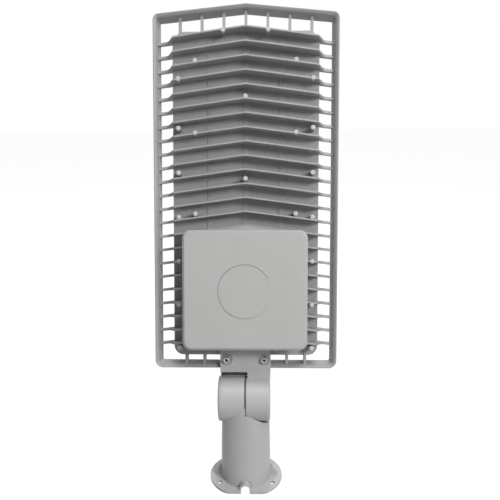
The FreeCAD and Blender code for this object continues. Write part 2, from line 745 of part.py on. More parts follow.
def cable_gland():
    """Gland body: a hexagon against the rim and a threaded neck through it."""
    wall = PLATE_BOTTOM
    flange = hexagon(GLAND_HEX, (0, GLAND_DEPTH, wall - GLAND_HEX_THICK), (0, GLAND_DEPTH, wall))
    neck = turned(GLAND_R, (0, GLAND_DEPTH, wall - GLAND_HEX_THICK),
                  (0, GLAND_DEPTH, wall + RIM_WALL + LOCKNUT_THICK + 1))
    bore = turned(GLAND_BORE_R, (0, GLAND_DEPTH, 0), (0, GLAND_DEPTH, wall + 2 * PLATE_BOTTOM))
    return join([flange, neck]).cut(bore)


def gland_nut():
    """Hexagonal nut that closes the gland round the cable, tapered at its mouth."""
    top = PLATE_BOTTOM - GLAND_HEX_THICK
    middle = top - GLAND_NUT_LENGTH / 2
    low = top - GLAND_NUT_LENGTH
    corner = GLAND_NUT_ACROSS / math.sqrt(3)
    body = hexagon(GLAND_NUT_ACROSS, (0, GLAND_DEPTH, middle), (0, GLAND_DEPTH, top))
    mouth = flat_sided(6, corner, (0, GLAND_DEPTH, middle), (0, GLAND_DEPTH, low), GLAND_R)
    return join([body, mouth]).cut(turned(GLAND_MOUTH_R, (0, GLAND_DEPTH, low - 1), (0, GLAND_DEPTH, top + 1)))


def gland_locknut():
    start = PLATE_BOTTOM + RIM_WALL
    nut = hexagon(LOCKNUT_ACROSS, (0, GLAND_DEPTH, start), (0, GLAND_DEPTH, start + LOCKNUT_THICK))
    end = start + LOCKNUT_THICK
    return nut.cut(turned(GLAND_R + SCREW_SLACK, (0, GLAND_DEPTH, start - 1), (0, GLAND_DEPTH, end + 1)))


# Knuckle, about the X axis through the origin

def knuckle_shell(end, corner, pocket_r, pocket_depth):
    """Half of the knuckle by revolving its section: hollow, with a bolt boss and an end wall.

    corner holds the (along, radius) points of the outer end, from the rim inwards.
    """
    inside = end - KNUCKLE_END_WALL
    hole = TILT_BOLT_R + RUNNING_FIT
    past = -2 * TOOTH_HEIGHT
    neck = KNUCKLE_R - TOOTH_RIM_CHAMFER
    section = [(past, KNUCKLE_BORE_R), (past, neck), (0, neck), (TOOTH_RIM_CHAMFER, KNUCKLE_R)] + corner
    section += [(end, pocket_r), (end - pocket_depth, pocket_r), (end - pocket_depth, hole),
                (TOOTH_HEIGHT, hole), (TOOTH_HEIGHT, TILT_BOSS_R), (inside, TILT_BOSS_R),
                (inside, KNUCKLE_BORE_R), (past, KNUCKLE_BORE_R)]
    wire = Part.makePolygon([V(along, radius, 0) for along, radius in section])
    return Part.Face(wire).revolve(V(0, 0, 0), V(1, 0, 0), 360)


def neck_end():
    """Outer end of the neck's half, with its edge cut off."""
    return [(NECK_SIDE - NECK_END_CUT, KNUCKLE_R), (NECK_SIDE, KNUCKLE_R - NECK_END_CUT)]


def adapter_end():
    """Outer end of the adapter's half: a shallow dome in two slopes."""
    return [(ADAPTER_SIDE - ADAPTER_END_DOME * share ** 2, KNUCKLE_R * share) for share in (1.0, 0.75)]


def tooth_cutter(side):
    """Everything on one side of the toothed parting face: flat flanks that all meet on the axis."""
    radius = KNUCKLE_R * 1.5
    rise = TOOTH_HEIGHT / 2 * radius / KNUCKLE_R
    rim = []
    base = []
    for i in range(2 * TEETH):
        angle = math.pi * i / TEETH
        y = radius * math.cos(angle)
        z = radius * math.sin(angle)
        rim.append(V(rise if i % 2 else -rise, y, z))
        base.append(V(side * KNUCKLE_R, y, z))
    faces = [Part.Face(Part.makePolygon(base + base[:1]))]
    for i in range(2 * TEETH):
        j = (i + 1) % (2 * TEETH)
        faces.append(Part.Face(Part.makePolygon([V(0, 0, 0), rim[i], rim[j], V(0, 0, 0)])))
        faces.append(Part.Face(Part.makePolygon([rim[i], base[i], base[j], rim[j], rim[i]])))
    cutter = Part.Solid(Part.Shell(faces))
    cutter.translate(V(-side * TOOTH_GAP / 2, 0, 0))
    return cutter


def knuckle_neck():
    """Neck plate over the panel's edge, an arm and the right half of the knuckle."""
    half = NECK_WIDTH / 2
    plate = box(-half, half, NECK_FACE, 0, -NECK_STEP, NECK_TOP)
    web = box(-half, half, NECK_FACE, NECK_WEB_DEPTH, -NECK_STEP, -NECK_STEP + NECK_WEB)
    lip = box(-half, TOOTH_HEIGHT, LIP_FRONT, NECK_WEB_DEPTH, KNUCKLE_R + LIP_GAP - PIVOT_BELOW, -NECK_STEP)
    arm = box(TOOTH_HEIGHT, NECK_SIDE, NECK_FACE, PIVOT_BEHIND + ARM_BACK, -PIVOT_BELOW, -NECK_STEP + NECK_WEB)
    core = rod(KNUCKLE_BORE_R, (-2 * TOOTH_HEIGHT, PIVOT_BEHIND, -PIVOT_BELOW),
               (NECK_SIDE - KNUCKLE_END_WALL, PIVOT_BEHIND, -PIVOT_BELOW))
    duct_x = NECK_SIDE / 2
    duct = box(duct_x - DUCT_WIDTH / 2, duct_x + DUCT_WIDTH / 2, PIVOT_BEHIND - DUCT_DEPTH / 2,
               PIVOT_BEHIND + DUCT_DEPTH / 2, -PIVOT_BELOW + TILT_BOSS_R, FAR)
    end_pocket = rod(HEAD_POCKET_R, (NECK_SIDE - NUT_POCKET, PIVOT_BEHIND, -PIVOT_BELOW),
                     (NECK_SIDE + 1, PIVOT_BEHIND, -PIVOT_BELOW))
    shell = knuckle_shell(NECK_SIDE, neck_end(), HEAD_POCKET_R, NUT_POCKET)
    shell.translate(V(0, PIVOT_BEHIND, -PIVOT_BELOW))
    teeth = tooth_cutter(-1)
    teeth.translate(V(0, PIVOT_BEHIND, -PIVOT_BELOW))
    knuckle = join([arm.cut(core).cut(end_pocket), shell]).cut(teeth)
    groove_width, groove_depth, groove_length = NECK_GROOVE
    tools = [duct, box(-groove_width / 2, groove_width / 2, NECK_FACE - 1, NECK_FACE + groove_depth,
                       NECK_TOP - groove_length, NECK_TOP + 1)]
    for side in (-1, 1):
        x = side * NECK_BOLT_X
        tools.append(pin(NECK_BOLT_R + SCREW_SLACK, x, NECK_BOLT_Z, NECK_FACE, 1))
        tools.append(turned(BOLT_POCKET_R, (x, NECK_FACE - 1, NECK_BOLT_Z), (x, BOLT_SEAT, NECK_BOLT_Z)))
    return join([plate, web, lip, knuckle]).cut(Part.Compound(tools))


def neck_bolts():
    """Socket head screws, down through the neck plate into the seats."""
    seat = BOLT_SEAT - PLAIN_WASHER_THICK - SPRING_WASHER_THICK
    top = seat - NECK_BOLT_HEAD
    bolts = []
    for side in (-1, 1):
        x = side * NECK_BOLT_X
        head = turned(NECK_BOLT_HEAD_R, (x, top, NECK_BOLT_Z), (x, seat, NECK_BOLT_Z))
        shank = pin(NECK_BOLT_R, x, NECK_BOLT_Z, seat, seat + NECK_BOLT_LENGTH)
        socket = hexagon(NECK_BOLT_SOCKET, (x, top - 1, NECK_BOLT_Z), (x, top + NECK_BOLT_SOCKET_DEPTH, NECK_BOLT_Z))
        bolts.append(join([head, shank]).cut(socket))
    return Part.Compound(bolts)


def washer(radius, x, y0, y1):
    """Ring round a neck bolt."""
    disc = turned(radius, (x, y0, NECK_BOLT_Z), (x, y1, NECK_BOLT_Z))
    return disc.cut(pin(NECK_BOLT_R + SCREW_SLACK, x, NECK_BOLT_Z, y0 - 1, y1 + 1))


def neck_plain_washers():
    return Part.Compound([washer(PLAIN_WASHER_R, side * NECK_BOLT_X, BOLT_SEAT - PLAIN_WASHER_THICK, BOLT_SEAT)
                          for side in (-1, 1)])


def neck_spring_washers():
    """Split rings: each has a slanted slit."""
    low = BOLT_SEAT - PLAIN_WASHER_THICK
    rings = []
    for side in (-1, 1):
        x = side * NECK_BOLT_X
        whole = washer(SPRING_WASHER_R, x, low - SPRING_WASHER_THICK, low)
        slit = box(-SPRING_WASHER_SLIT / 2, SPRING_WASHER_SLIT / 2, -2 * SPRING_WASHER_THICK,
                   2 * SPRING_WASHER_THICK, 0, 2 * SPRING_WASHER_R)
        slit.rotate(V(0, 0, 0), V(0, 0, 1), 30)
        slit.translate(V(x, low - SPRING_WASHER_THICK / 2, NECK_BOLT_Z))
        rings.append(whole.cut(slit))
    return Part.Compound(rings)


# Tilt bolt, along X through the knuckle

def pivot(x):
    return (x, 0, PIVOT_HEIGHT)


def tilt_bolt():
    """Socket head screw: head in the neck's pocket, end through the nut in the adapter's pocket."""
    seat = NECK_SIDE - NUT_POCKET + TILT_WASHER_THICK
    end = -ADAPTER_SIDE + NUT_POCKET - NUT_THICK - BOLT_PAST_NUT
    shank = turned(TILT_BOLT_R, pivot(end), pivot(seat))
    head = turned(TILT_HEAD_R, pivot(seat), pivot(seat + TILT_HEAD))
    socket = hexagon(TILT_SOCKET, pivot(seat + TILT_HEAD - TILT_SOCKET_DEPTH), pivot(seat + TILT_HEAD + 1))
    return join([shank, head]).cut(socket)


def tilt_washer():
    seat = NECK_SIDE - NUT_POCKET
    end = seat + TILT_WASHER_THICK
    disc = turned(TILT_WASHER_R, pivot(seat), pivot(end))
    return disc.cut(turned(TILT_BOLT_R + SCREW_SLACK, pivot(seat - 1), pivot(end + 1)))


def tilt_nut():
    seat = -ADAPTER_SIDE + NUT_POCKET
    nut = hexagon(NUT_ACROSS, pivot(seat), pivot(seat - NUT_THICK))
    return nut.cut(turned(TILT_BOLT_R + SCREW_SLACK, pivot(seat - NUT_THICK - 1), pivot(seat + 1)))


# Adapter, upright at the origin

def tube_outside(top):
    """Tapered tube up to the knuckle, then straight to the given height."""
    straight = PIVOT_HEIGHT - KNUCKLE_R
    taper = flat_sided(TUBE_SIDES, TUBE_BASE_R, (0, 0, 0), (0, 0, straight), TUBE_TOP_R)
    return join([taper, flat_sided(TUBE_SIDES, TUBE_TOP_R, (0, 0, straight), (0, 0, top))])


def flange():
    """Disc with a straight front edge that has rounded corners."""
    disc = rod(FLANGE_R, (0, 0, 0), (0, 0, FLANGE_THICK))
    disc = disc.cut(box(-FAR, FAR, -FAR, -FLANGE_FLAT, -1, FLANGE_THICK + 1))
    corners = [e for e in disc.Edges if e.BoundBox.ZLength > FLANGE_THICK - 0.1 and abs(e.BoundBox.XMin) > 1]
    return disc.makeFillet(FLANGE_CORNER, [e for e in corners if e.BoundBox.YMin < 1 - FLANGE_FLAT])


def gussets():
    inner = TUBE_BORE_R + 2
    corners = [V(inner, 0, FLANGE_THICK - 1), V(GUSSET_REACH, 0, FLANGE_THICK - 1), V(GUSSET_REACH, 0, FLANGE_THICK),
               V(TUBE_TOP_R, 0, FLANGE_THICK + GUSSET_HEIGHT), V(inner, 0, FLANGE_THICK + GUSSET_HEIGHT)]
    web = Part.Face(Part.makePolygon(corners + corners[:1])).extrude(V(0, GUSSET_THICK, 0))
    web.translate(V(0, -GUSSET_THICK / 2, 0))
    return both_sides(web)


def arch(width, height, y0, y1):
    """Round-headed tunnel shape along Y, standing on the bottom face."""
    half = width / 2
    spring = height - half
    arc = Part.Arc(V(half, y0, spring), V(0, y0, height), V(-half, y0, spring)).toShape()
    legs = Part.makePolygon([V(-half, y0, spring), V(-half, y0, 0), V(half, y0, 0), V(half, y0, spring)])
    return Part.Face(Part.Wire([arc] + legs.Edges)).extrude(V(0, y1 - y0, 0))


def flange_hole_places():
    """Equal angles, one hole at the back."""
    places = []
    for i in range(FLANGE_HOLES):
        angle = math.radians(90 + 360 * i / FLANGE_HOLES)
        places.append((FLANGE_PCD / 2 * math.cos(angle), FLANGE_PCD / 2 * math.sin(angle)))
    return places


def spigot_adapter():
    """Flanged tube whose left half rises into the knuckle; its right half is cut as a saddle."""
    left = tube_outside(PIVOT_HEIGHT).common(box(-FAR, 0, -FAR, FAR, -FAR, FAR))
    right = tube_outside(PIVOT_HEIGHT).common(box(0, FAR, -FAR, FAR, -FAR, PIVOT_HEIGHT))
    saddle = rod(SADDLE_R, pivot(0), pivot(FAR))
    right = right.cut(saddle)
    shell = knuckle_shell(ADAPTER_SIDE, adapter_end(), NUT_ACROSS / math.sqrt(3) - 1, NUT_POCKET)
    shell = shell.mirror(V(0, 0, 0), V(1, 0, 0))
    shell.translate(V(0, 0, PIVOT_HEIGHT))
    core = rod(KNUCKLE_BORE_R, pivot(-ADAPTER_SIDE + KNUCKLE_END_WALL), pivot(2 * TOOTH_HEIGHT))
    hub = rod(TILT_BOLT_R + RUNNING_FIT, pivot(-FAR), pivot(FAR))
    left = left.cut(core).cut(hub)
    hood = arch(NOTCH_WIDTH + 2 * HOOD_WALL, NOTCH_HEIGHT + HOOD_WALL, -FLANGE_FLAT + HOOD_WALL / 2, -TUBE_BORE_R - 1)
    body = join([left, right, shell, flange(), hood] + gussets())
    bore_top = PIVOT_HEIGHT - SADDLE_R - BORE_ROOF
    tools = [rod(TUBE_BORE_R, (0, 0, -1), (0, 0, bore_top)),
             rod(PASSAGE_R, (PASSAGE_X, 0, bore_top - 1), (PASSAGE_X, 0, PIVOT_HEIGHT - TILT_BOSS_R - 2)),
             arch(NOTCH_WIDTH, NOTCH_HEIGHT, -FAR, -TUBE_BORE_R + 2),
             hexagon(NUT_ACROSS + NUT_SLACK, pivot(-ADAPTER_SIDE - 1), pivot(-ADAPTER_SIDE + NUT_POCKET))]
    for x, y in flange_hole_places():
        tools.append(rod(FLANGE_HOLE_R, (x, y, -1), (x, y, FLANGE_THICK + 1)))
    teeth = tooth_cutter(1)
    teeth.translate(V(0, 0, PIVOT_HEIGHT))
    above = rod(SADDLE_R, pivot(-2 * TOOTH_HEIGHT), pivot(2 * TOOTH_HEIGHT))
    return body.cut(Part.Compound(tools)).cut(teeth.common(above))


def tilt_back(shape):
    """Move a piece from the panel frame to its place on the adapter."""
    placed = shape.copy()
    placed.translate(V(0, -PIVOT_BEHIND, PIVOT_BELOW))
    placed.rotate(V(0, 0, 0), V(1, 0, 0), -TILT_BACK)
    placed.translate(V(0, 0, PIVOT_HEIGHT))
    return placed


HEAD_PIECES = (
    heat_sink_housing, driver_box_cover, cover_gasket, cover_screws, led_driver, driver_screws,
    terminal_block, terminal_screws, surge_protector, led_board, led_packages, lens_plate,
    led_module_screws, front_frame, front_glass, glass_seal, frame_gasket, front_frame_screws,
    cable_gland, gland_nut, gland_locknut, knuckle_neck, neck_bolts, neck_spring_washers,
    neck_plain_washers,
)
ADAPTER_PIECES = (spigot_adapter, tilt_bolt, tilt_washer, tilt_nut)


def main():
    os.makedirs("parts", exist_ok=True)
    for make in HEAD_PIECES:
        tilt_back(make()).exportStep("parts/" + make.__name__ + ".step")
    for make in ADAPTER_PIECES:
        make().exportStep("parts/" + make.__name__ + ".step")


main()
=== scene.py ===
import math

import bmesh
import bpy
import numpy as np
from mathutils import Matrix, Vector


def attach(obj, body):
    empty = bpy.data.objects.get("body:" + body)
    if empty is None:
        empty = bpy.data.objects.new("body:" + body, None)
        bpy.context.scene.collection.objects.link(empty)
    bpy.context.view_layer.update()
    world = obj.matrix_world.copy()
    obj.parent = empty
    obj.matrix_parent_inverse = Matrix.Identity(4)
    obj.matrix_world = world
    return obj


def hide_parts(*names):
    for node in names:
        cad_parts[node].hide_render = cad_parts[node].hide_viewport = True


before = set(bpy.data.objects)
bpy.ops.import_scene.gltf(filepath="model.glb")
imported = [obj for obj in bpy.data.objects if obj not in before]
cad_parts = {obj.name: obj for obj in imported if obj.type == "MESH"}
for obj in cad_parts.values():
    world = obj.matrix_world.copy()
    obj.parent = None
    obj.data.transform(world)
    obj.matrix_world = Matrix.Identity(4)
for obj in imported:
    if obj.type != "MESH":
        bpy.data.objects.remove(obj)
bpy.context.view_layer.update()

MM = 0.001


# Node trees

def build_group(name, inputs, outputs):
    """Empty shader node group with named sockets; each is (name, kind, value)."""
    tree = bpy.data.node_groups.new(name, "ShaderNodeTree")
    for label, kind, value in inputs:
        socket = tree.interface.new_socket(name=label, in_out="INPUT", socket_type=kind)
        if value is not None:
            socket.default_value = value
    for label, kind in outputs:
        tree.interface.new_socket(name=label, in_out="OUTPUT", socket_type=kind)
    return tree, tree.nodes.new("NodeGroupInput"), tree.nodes.new("NodeGroupOutput")


def add_node(tree, kind, links=None, **values):
    """Node with its settings; links maps an input's name or index to a socket or a plain value."""
    node = tree.nodes.new(kind)
    for key, value in values.items():
        setattr(node, key, value)
    for key, source in (links or {}).items():
        if isinstance(source, bpy.types.NodeSocket):
            tree.links.new(source, node.inputs[key])
        else:
            node.inputs[key].default_value = source
    return node


def noise(tree, vector, scale, detail=2.0, rough=0.5):
    """Value of a noise texture, about 0 to 1."""
    return add_node(tree, "ShaderNodeTexNoise",
                    {"Vector": vector, "Scale": scale, "Detail": detail, "Roughness": rough}).outputs["Fac"]


def ramp(tree, value, low, high, out_low=0.0, out_high=1.0):
    """Value mapped from one range to another and clamped."""
    return add_node(tree, "ShaderNodeMapRange",
                    {"Value": value, "From Min": low, "From Max": high,
                     "To Min": out_low, "To Max": out_high}).outputs["Result"]


def math_node(tree, operation, first, second=0.0):
    """Value of one Math node."""
    return add_node(tree, "ShaderNodeMath", {0: first, 1: second}, operation=operation).outputs["Value"]


def mix_colour(tree, factor, first, second):
    """Colour between two, by a factor from 0 to 1."""
    node = tree.nodes.new("ShaderNodeMix")
    node.data_type = "RGBA"
    for slot, source in ((0, factor), (6, first), (7, second)):
        if isinstance(source, bpy.types.NodeSocket):
            tree.links.new(source, node.inputs[slot])
        else:
            node.inputs[slot].default_value = source
    return node.outputs[2]


def grey(level, warm=0.0):
    """Linear grey, pulled towards red and away from blue by warm."""
    return (level * (1 + warm), level, level * (1 - warm), 1.0)


# Finishes that several materials share

def coat_group():
    """Powder coat: fine orange-peel height, slow tone change and a little dust on what faces up."""
    tree, given, out = build_group(
        "powder_coat",
        [("Colour", "NodeSocketColor", grey(0.4)), ("Peel Size", "NodeSocketFloat", 700.0),
         ("Tone Change", "NodeSocketFloat", 0.08), ("Dust", "NodeSocketFloat", 0.1),
         ("Roughness", "NodeSocketFloat", 0.5)],
        [("Colour", "NodeSocketColor"), ("Roughness", "NodeSocketFloat"), ("Height", "NodeSocketFloat")])
    where = add_node(tree, "ShaderNodeTexCoord").outputs["Object"]
    peel = add_node(tree, "ShaderNodeTexNoise",
                    {"Vector": where, "Scale": given.outputs["Peel Size"], "Detail": 3.0, "Roughness": 0.55})
    slow = noise(tree, where, 14.0, 4.0, 0.6)
    speck = noise(tree, where, 260.0, 3.0, 0.7)
    blend = math_node(tree, "ADD", math_node(tree, "MULTIPLY", slow, 0.7), math_node(tree, "MULTIPLY", speck, 0.3))
    half = math_node(tree, "SUBTRACT", blend, 0.5)
    swing = math_node(tree, "MULTIPLY", half, given.outputs["Tone Change"])
    bright = math_node(tree, "ADD", math_node(tree, "MULTIPLY", swing, 4.0), 1.0)
    tone = add_node(tree, "ShaderNodeVectorMath",
                    {0: given.outputs["Colour"], "Scale": bright}, operation="SCALE").outputs["Vector"]
    up = add_node(tree, "ShaderNodeSeparateXYZ",
                  {0: add_node(tree, "ShaderNodeNewGeometry").outputs["Normal"]}).outputs["Z"]
    lies = math_node(tree, "MULTIPLY", ramp(tree, up, 0.5, 1.0), ramp(tree, noise(tree, where, 45.0, 5.0), 0.42, 0.7))
    dust = math_node(tree, "MULTIPLY", lies, given.outputs["Dust"])
    tree.links.new(mix_colour(tree, dust, tone, (0.46, 0.44, 0.40, 1.0)), out.inputs["Colour"])
    rough = math_node(tree, "ADD", given.outputs["Roughness"],
                      math_node(tree, "MULTIPLY", math_node(tree, "SUBTRACT", speck, 0.5), 0.16))
    tree.links.new(math_node(tree, "ADD", rough, math_node(tree, "MULTIPLY", dust, 0.3)), out.inputs["Roughness"])
    tree.links.new(peel.outputs["Fac"], out.inputs["Height"])
    return tree


def new_material(name):
    """Material with a Principled shader alone, and its node tree."""
    material = bpy.data.materials.new(name)
    material.use_nodes = True
    tree = material.node_tree
    tree.nodes.clear()
    shader = tree.nodes.new("ShaderNodeBsdfPrincipled")
    out = tree.nodes.new("ShaderNodeOutputMaterial")
    tree.links.new(shader.outputs["BSDF"], out.inputs["Surface"])
    return material, tree, shader


def bump(tree, shader, height, strength, distance, edge=0.0):
    """Height as a bump; edge is the radius that the piece's sharp edges look rounded to."""
    node = add_node(tree, "ShaderNodeBump", {"Height": height, "Strength": strength, "Distance": distance})
    if edge:
        rounded = add_node(tree, "ShaderNodeBevel", {"Radius": edge}, samples=6)
        tree.links.new(rounded.outputs["Normal"], node.inputs["Normal"])
    tree.links.new(node.outputs["Normal"], shader.inputs["Normal"])


COAT = coat_group()


def coated(name, colour, peel_size=700.0, tone=0.08, dust=0.1, rough=0.5, peel=0.35, edge=0.6):
    """Powder-coated casting; peel is the strength of its orange peel, and edge its rounding in millimetres."""
    material, tree, shader = new_material(name)
    coat = add_node(tree, "ShaderNodeGroup", node_tree=COAT)
    for label, value in (("Colour", colour), ("Peel Size", peel_size), ("Tone Change", tone),
                         ("Dust", dust), ("Roughness", rough)):
        coat.inputs[label].default_value = value
    tree.links.new(coat.outputs["Colour"], shader.inputs["Base Color"])
    tree.links.new(coat.outputs["Roughness"], shader.inputs["Roughness"])
    bump(tree, shader, coat.outputs["Height"], peel, 0.12 * MM, edge * MM)
    return material


def metal(name, colour, rough=0.32, grain=900.0):
    """Plated steel: metallic, with a fine mottled grain and duller patches."""
    material, tree, shader = new_material(name)
    where = add_node(tree, "ShaderNodeTexCoord").outputs["Object"]
    fine = noise(tree, where, grain, 4.0, 0.7)
    patch = noise(tree, where, 120.0, 3.0)
    dark = tuple(c * 0.72 for c in colour[:3]) + (1.0,)
    tree.links.new(mix_colour(tree, ramp(tree, patch, 0.35, 0.7), dark, colour), shader.inputs["Base Color"])
    tree.links.new(ramp(tree, fine, 0.2, 0.8, rough - 0.08, rough + 0.12), shader.inputs["Roughness"])
    shader.inputs["Metallic"].default_value = 1.0
    bump(tree, shader, fine, 0.2, 0.05 * MM, 0.3 * MM)
    return material


def moulded(name, colour, rough=0.55, size=1100.0, depth=0.3):
    """Moulded plastic or rubber: even colour with a fine spark-eroded texture."""
    material, tree, shader = new_material(name)
    where = add_node(tree, "ShaderNodeTexCoord").outputs["Object"]
    fine = noise(tree, where, size, 2.0)
    slow = noise(tree, where, 60.0, 3.0)
    light = tuple(min(c * 1.25 + 0.01, 1.0) for c in colour[:3]) + (1.0,)
    tree.links.new(mix_colour(tree, ramp(tree, slow, 0.3, 0.75), colour, light), shader.inputs["Base Color"])
    tree.links.new(ramp(tree, fine, 0.2, 0.8, rough - 0.06, rough + 0.08), shader.inputs["Roughness"])
    bump(tree, shader, fine, depth, 0.08 * MM)
    return material


def clear(name, colour, rough, ior):
    """Glass or clear moulding with faint smears in its gloss."""
    material, tree, shader = new_material(name)
    where = add_node(tree, "ShaderNodeTexCoord").outputs["Object"]
    smear = noise(tree, where, 22.0, 4.0, 0.6)
    shader.inputs["Base Color"].default_value = colour
    shader.inputs["Transmission Weight"].default_value = 1.0
    shader.inputs["IOR"].default_value = ior
    tree.links.new(ramp(tree, smear, 0.35, 0.8, rough, rough + 0.05), shader.inputs["Roughness"])
    return material


MATERIALS = {
    "cast_coat": coated("cast_coat", grey(0.34, 0.004), 620.0, 0.10, 0.10, 0.52, 0.5),
    "cover_coat": coated("cover_coat", grey(0.42, 0.012), 800.0, 0.05, 0.06, 0.46, 0.3),
    "bright_coat": coated("bright_coat", grey(0.44, -0.004), 900.0, 0.05, 0.08, 0.42, 0.25),
    "zinc": metal("zinc", (0.62, 0.62, 0.61, 1.0), 0.3),
    "dull_zinc": metal("dull_zinc", (0.34, 0.34, 0.35, 1.0), 0.42),
    "silicone": moulded("silicone", (0.06, 0.06, 0.062, 1.0), 0.7),
    "nylon": moulded("nylon", (0.025, 0.025, 0.026, 1.0), 0.5),
    "block_plastic": moulded("block_plastic", (0.62, 0.61, 0.57, 1.0), 0.55),
    "surge_plastic": moulded("surge_plastic", (0.05, 0.06, 0.08, 1.0), 0.45),
    "solder_mask": moulded("solder_mask", (0.74, 0.75, 0.74, 1.0), 0.35, 500.0, 0.1),
    "phosphor": moulded("phosphor", (0.78, 0.62, 0.12, 1.0), 0.5, 2000.0, 0.2),
    "case_metal": metal("case_metal", (0.6, 0.6, 0.61, 1.0), 0.4),
    # lighter grey than cast_coat: painted highlight on the bosses' tips
    "painted_tip_highlight": coated("painted_tip_highlight", grey(0.50), 900.0, 0.05, 0.05, 0.4, 0.25, 0.2),
    # near-black painted shade for the screw sockets, the gap over the knuckle and the parting line's teeth
    "recess": moulded("recess", (0.035, 0.035, 0.037, 1.0), 0.6, 900.0, 0.2),
    "lens_clear": clear("lens_clear", (0.97, 0.98, 0.98, 1.0), 0.06, 1.49),
    "pane": clear("pane", (0.93, 0.98, 0.96, 1.0), 0.01, 1.5),
}

FINISHES = {
    "heat_sink_housing": "cast_coat", "front_frame": "cast_coat", "driver_box_cover": "cover_coat",
    "knuckle_neck": "bright_coat", "spigot_adapter": "bright_coat",
    "neck_bolts": "zinc", "neck_plain_washers": "dull_zinc", "neck_spring_washers": "dull_zinc",
    "tilt_bolt": "zinc", "tilt_washer": "zinc", "tilt_nut": "zinc", "front_frame_screws": "zinc",
    "cover_screws": "zinc", "driver_screws": "zinc", "terminal_screws": "zinc", "led_module_screws": "zinc",
    "cover_gasket": "silicone", "frame_gasket": "silicone", "glass_seal": "silicone",
    "cable_gland": "nylon", "gland_nut": "nylon", "gland_locknut": "nylon",
    "terminal_block": "block_plastic", "surge_protector": "surge_plastic", "led_driver": "case_metal",
    "led_board": "solder_mask", "led_packages": "phosphor", "lens_plate": "lens_clear", "front_glass": "pane",
}


def soften_group(name, widest):
    """Geometry nodes that shade smoothly across the edges flatter than an angle."""
    tree = bpy.data.node_groups.new(name, "GeometryNodeTree")
    tree.interface.new_socket(name="Geometry", in_out="INPUT", socket_type="NodeSocketGeometry")
    tree.interface.new_socket(name="Geometry", in_out="OUTPUT", socket_type="NodeSocketGeometry")
    given = tree.nodes.new("NodeGroupInput")
    out = tree.nodes.new("NodeGroupOutput")
    merged = add_node(tree, "GeometryNodeMergeByDistance", {"Geometry": given.outputs[0], "Distance": 0.004 * MM})
    smooth = add_node(tree, "GeometryNodeSetShadeSmooth", {0: merged.outputs[0]}, domain="FACE")
    angle = add_node(tree, "GeometryNodeInputMeshEdgeAngle").outputs["Unsigned Angle"]
    steep = math_node(tree, "GREATER_THAN", angle, widest)
    sharp = add_node(tree, "GeometryNodeSetShadeSmooth",
                     {0: smooth.outputs[0], "Selection": steep, "Shade Smooth": False}, domain="EDGE")
    tree.links.new(sharp.outputs[0], out.inputs[0])
    return tree


SOFT = soften_group("smooth_by_angle", math.radians(38.0))

for node_name, finish in FINISHES.items():
    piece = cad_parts[node_name]
    piece.data.materials.clear()
    piece.data.materials.append(MATERIALS[finish])
    piece.modifiers.new("smooth_by_angle", "NODES").node_group = SOFT


# Detail pieces, drawn in millimetres in the panel frame: X across, Z up the panel, Y through it towards the light

TILT_BACK = math.radians(15.0)
PIVOT_HEIGHT = 135.6         # tilt axis above the floor
PIVOT_BEHIND = 2.0           # the same axis in the panel frame, along Y
PIVOT_BELOW = 46.5           # and below the panel's lower edge
PIVOT = Vector((0.0, 0.0, PIVOT_HEIGHT * MM))
PIVOT_IN_PANEL = Vector((0.0, PIVOT_BEHIND * MM, -PIVOT_BELOW * MM))
PLATE_FACE = 2.0
PLATE_HALF = 106.5
PLATE_END = 487.0            # plate's upper edge on the centre line
RIB_CREST = -22.5            # depth of the crest on the centre line
RIB_CROWN = 4.5              # what the crest falls back by at the plate's edge
RIB_PITCH = 20.0
RIB_FALL = 0.128             # slope of a rib down from the centre line
LAST_RIB = 211.6             # crest of the last whole rib on the centre line
COVER_TOP = -49.8
BOX_MIDDLE = 119.0
BOX_END = 203.9              # cover's upper edge
KNUCKLE_RADIUS = 33.7


def tilted(points):
    """Points of the panel frame in metres at their place on the adapter: moved to the pivot, then turned about X."""
    points = np.asarray(points, float).reshape(-1, 3) * MM - np.array(PIVOT_IN_PANEL)
    cosine, sine = math.cos(TILT_BACK), math.sin(TILT_BACK)
    x, y, z = points.T
    return np.stack([x, cosine * y + sine * z, cosine * z - sine * y], axis=1) + np.array(PIVOT)


def grid_faces(rows, columns, close_rows=False, close_columns=False, first=0):
    """Quads between neighbouring points of a grid stored row by row.

    A closed direction joins its last to its first.
    """
    row = np.arange(rows if close_rows else rows - 1)
    column = np.arange(columns if close_columns else columns - 1)
    row, column = (part.ravel() for part in np.meshgrid(row, column, indexing="ij"))
    below, right = (row + 1) % rows, (column + 1) % columns
    return first + np.stack([row * columns + column, below * columns + column,
                             below * columns + right, row * columns + right], axis=1)


def make_piece(name, points, faces, finishes, second=None, angle=38.0, body="head"):
    """Piece with its normals turned outwards; second marks the faces that take the second finish.

    The head's pieces are drawn in the panel frame, the adapter's upright in their place.
    """
    mesh = bpy.data.meshes.new(name)
    placed = tilted(points) if body == "head" else np.asarray(points, float).reshape(-1, 3) * MM
    mesh.from_pydata(placed.tolist(), [], [list(face) for face in faces])
    for finish in finishes:
        mesh.materials.append(MATERIALS[finish])
    if second is not None:
        mesh.polygons.foreach_set("material_index", np.asarray(second, np.int32))
    shell = bmesh.new()
    shell.from_mesh(mesh)
    bmesh.ops.remove_doubles(shell, verts=shell.verts, dist=0.001 * MM)
    bmesh.ops.recalc_face_normals(shell, faces=shell.faces)
    shell.to_mesh(mesh)
    shell.free()
    mesh.shade_smooth()
    mesh.set_sharp_from_angle(angle=math.radians(angle))
    piece = bpy.data.objects.new(name, mesh)
    bpy.context.scene.collection.objects.link(piece)
    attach(piece, body)
    return piece


def crest_at(x):
    """Depth of a rib's crest: a parabola over the distance from the centre line."""
    return RIB_CREST + RIB_CROWN * (np.asarray(x, float) / PLATE_HALF) ** 2


